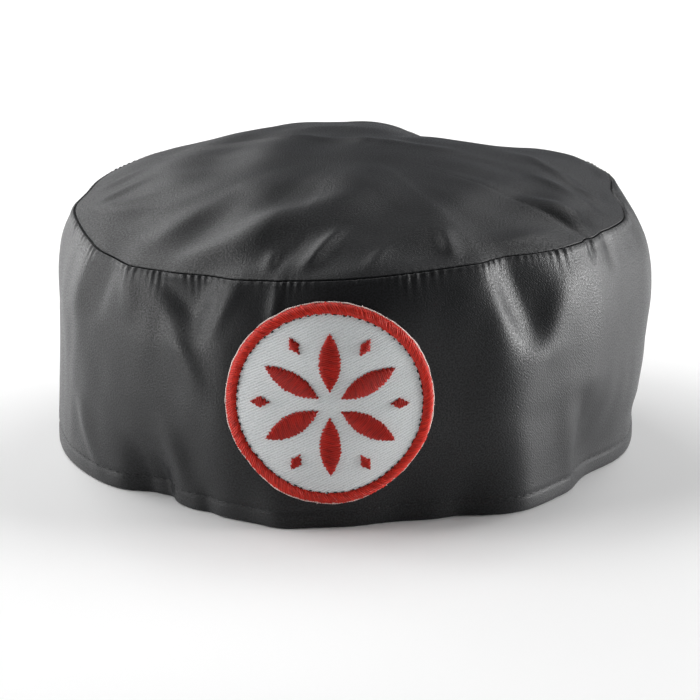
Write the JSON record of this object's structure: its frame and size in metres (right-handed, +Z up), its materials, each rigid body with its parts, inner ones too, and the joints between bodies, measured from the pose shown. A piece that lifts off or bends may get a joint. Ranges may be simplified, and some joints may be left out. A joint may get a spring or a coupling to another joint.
{
  "type": "masonic crown cap",
  "caption": "Round soft cap of black satin with a low domed crown sewn to a plain band, a stitched hem and a round embroidered badge on its front.",
  "frame": {"origin": "middle of the head opening on the plane of the hem, under the middle of the cap", "axes": "+Z up through the crown, the badge faces -Y, +X is to the right of someone who looks at the badge"},
  "size_m": [0.1886, 0.1869, 0.0953],
  "materials": {
    "black_satin": "satin weave, soft broad sheen",
    "white_twill": "matt diagonal twill",
    "red_thread": "embroidery thread, silky"
  },
  "bodies": {
    "root": {"side_band": "black_satin", "crown_panel": "black_satin", "badge_ground": "white_twill", "badge_border": "red_thread", "rosette_petal_1": "red_thread", "rosette_petal_2": "red_thread", "rosette_petal_3": "red_thread", "rosette_petal_4": "red_thread", "rosette_petal_5": "red_thread", "rosette_petal_6": "red_thread", "rosette_lozenge_1": "red_thread", "rosette_lozenge_2": "red_thread", "rosette_lozenge_3": "red_thread", "rosette_lozenge_4": "red_thread", "rosette_lozenge_5": "red_thread", "rosette_lozenge_6": "red_thread"}
  },
  "joints": []
}
